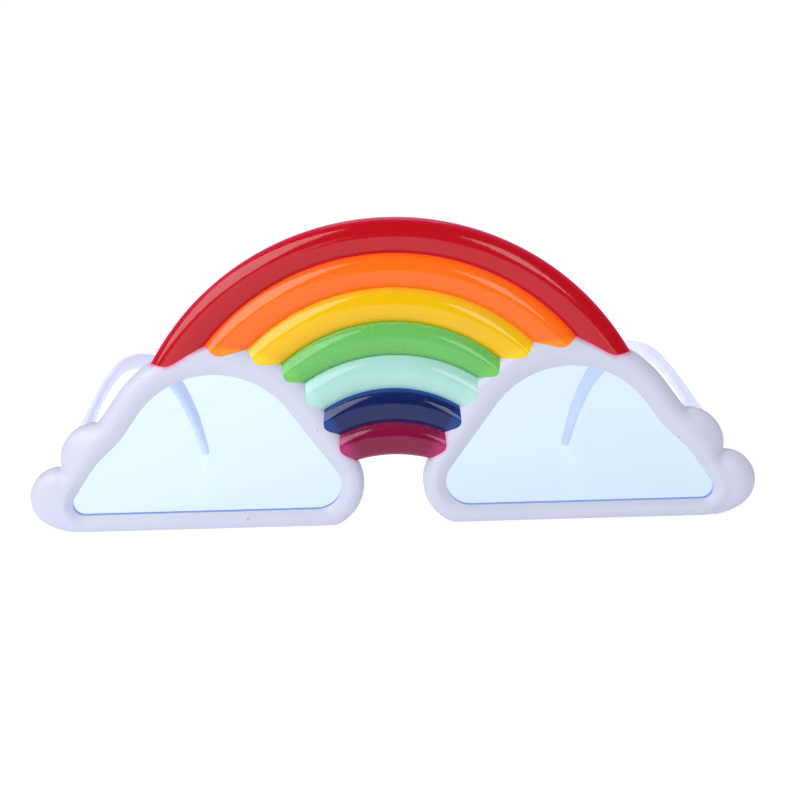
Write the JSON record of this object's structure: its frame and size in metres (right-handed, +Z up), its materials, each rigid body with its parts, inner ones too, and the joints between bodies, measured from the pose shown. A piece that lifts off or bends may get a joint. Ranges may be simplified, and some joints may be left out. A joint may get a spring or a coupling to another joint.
{
  "type": "party glasses",
  "caption": "Novelty party glasses: a raised rainbow arch stands over two white cloud-shaped rims with pale blue lenses and slim folding arms with ear hooks.",
  "frame": {"origin": "on the table, under the middle of the whole object's box, with the arms open", "axes": "+X to the wearer's left, which is the right of the picture; +Y to the back, along the open arms; +Z up from the table"},
  "size_m": [0.1906, 0.1484, 0.0808],
  "materials": {
    "white_shell": "glossy moulded white plastic with a cool lavender cast",
    "red_paint": "glossy sprayed red enamel over the moulding",
    "orange_paint": "glossy sprayed orange enamel",
    "yellow_paint": "glossy sprayed yellow enamel",
    "green_paint": "glossy sprayed green enamel with a fine pearl grain",
    "mint_paint": "glossy sprayed pale mint enamel",
    "navy_paint": "glossy sprayed navy enamel",
    "magenta_paint": "glossy sprayed magenta enamel",
    "blue_lens": "clear polycarbonate sheet with a pale blue tint",
    "white_arm": "glossy moulded white plastic, slightly translucent",
    "hinge_metal": "plated steel",
    "screw_metal": "turned steel with a cut slot"
  },
  "bodies": {
    "front": {"front_frame": "white_shell", "rainbow_red": "red_paint", "rainbow_orange": "orange_paint", "rainbow_yellow": "yellow_paint", "rainbow_green": "green_paint", "rainbow_mint": "mint_paint", "rainbow_navy": "navy_paint", "rainbow_magenta": "magenta_paint", "lens_left": "blue_lens", "lens_right": "blue_lens", "hinge_front_left": "hinge_metal", "hinge_front_right": "hinge_metal", "hinge_screw_left": "screw_metal", "hinge_screw_right": "screw_metal"},
    "arm_left": {"temple_left": "white_arm", "hinge_temple_left": "hinge_metal"},
    "arm_right": {"temple_right": "white_arm", "hinge_temple_right": "hinge_metal"}
  },
  "joints": [
    {"name": "fold_left", "type": "hinge", "parent": "front", "child": "arm_left", "pos_m": [-0.07825, -0.05992, 0.02576], "axis": [0, 0.1219, -0.9925], "range_deg": [0, 80]},
    {"name": "fold_right", "type": "hinge", "parent": "front", "child": "arm_right", "pos_m": [0.07825, -0.05992, 0.02576], "axis": [0, -0.1219, 0.9925], "range_deg": [0, 72]}
  ]
}
